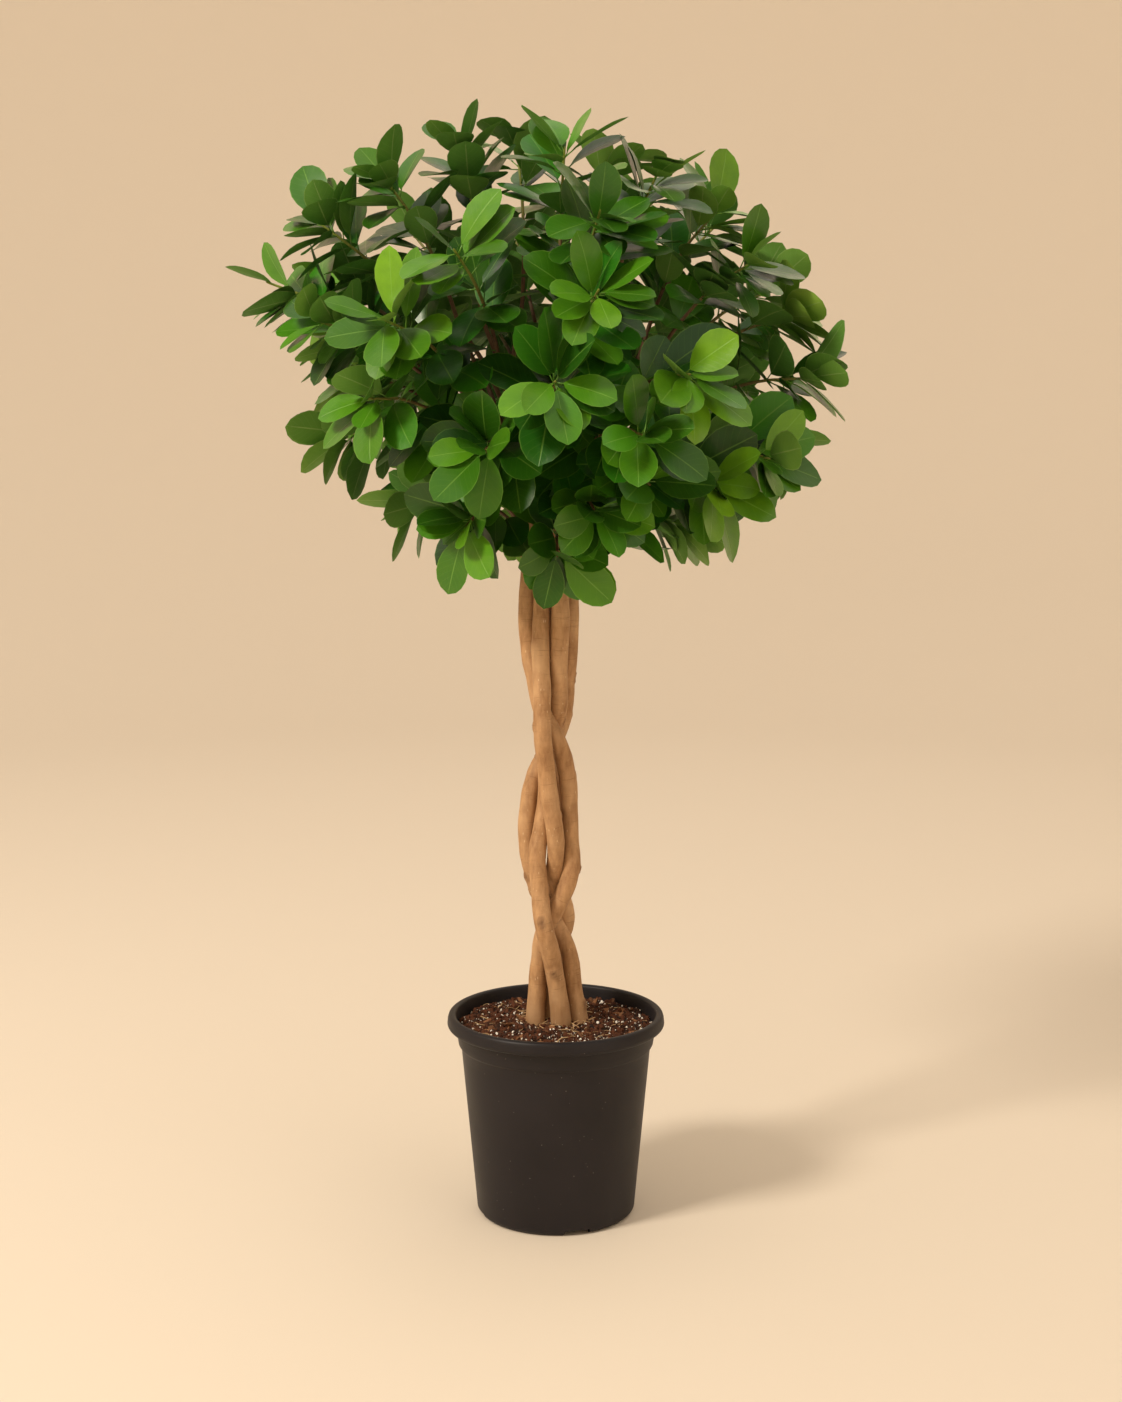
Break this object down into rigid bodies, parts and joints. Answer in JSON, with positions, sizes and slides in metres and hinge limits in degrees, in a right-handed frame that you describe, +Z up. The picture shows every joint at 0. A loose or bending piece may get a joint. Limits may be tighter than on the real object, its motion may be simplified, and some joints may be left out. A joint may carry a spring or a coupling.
{
  "type": "potted ficus",
  "caption": "House plant: a standard ficus with a plaited bundle of woody stems, a round leafy crown and a round plastic nursery pot filled with soil.",
  "frame": {"origin": "middle of the pot's foot, on the surface that the pot stands on", "axes": "+Z up along the pot's axis; -Y is the front of the plant and +X its right side"},
  "size_m": [0.5649, 0.535, 1.0499],
  "materials": {
    "pot_plastic": "satin moulded plastic",
    "potting_soil": "loose, rough",
    "bark": "natural bark",
    "foliage": "waxy, glossy above and dull below"
  },
  "bodies": {
    "root": {"leafy_branch_01": "foliage", "leafy_branch_02": "foliage", "leafy_branch_03": "foliage", "leafy_branch_04": "foliage", "leafy_branch_05": "foliage", "leafy_branch_06": "foliage", "leafy_branch_07": "foliage", "leafy_branch_08": "foliage", "leafy_branch_09": "foliage", "leafy_branch_10": "foliage", "leafy_branch_11": "foliage", "leafy_branch_12": "foliage", "leafy_branch_13": "foliage", "leafy_branch_14": "foliage", "leafy_branch_15": "foliage", "leafy_branch_16": "foliage", "leafy_branch_17": "foliage", "leafy_branch_18": "foliage", "leafy_branch_19": "foliage", "leafy_branch_20": "foliage", "leafy_branch_21": "foliage", "leafy_branch_22": "foliage", "leafy_branch_23": "foliage", "leafy_branch_24": "foliage", "leafy_branch_25": "foliage", "leafy_branch_26": "foliage", "leafy_branch_27": "foliage", "leafy_branch_28": "foliage", "leafy_branch_29": "foliage", "leafy_branch_30": "foliage", "leafy_branch_31": "foliage", "leafy_branch_32": "foliage", "leafy_branch_33": "foliage", "leafy_branch_34": "foliage", "leafy_branch_35": "foliage", "leafy_branch_36": "foliage", "leafy_branch_37": "foliage", "leafy_branch_38": "foliage", "leafy_branch_39": "foliage", "leafy_branch_40": "foliage", "leafy_branch_41": "foliage", "leafy_branch_42": "foliage", "leafy_branch_43": "foliage", "leafy_branch_44": "foliage", "leafy_branch_45": "foliage", "leafy_branch_46": "foliage", "leafy_branch_47": "foliage", "leafy_branch_48": "foliage", "leafy_branch_49": "foliage", "leafy_branch_50": "foliage", "leafy_branch_51": "foliage", "leafy_branch_52": "foliage", "nursery_pot": "pot_plastic", "potting_soil": "potting_soil", "stem_back": "bark", "stem_front": "bark", "stem_left": "bark", "stem_middle": "bark", "stem_right": "bark"}
  },
  "joints": []
}
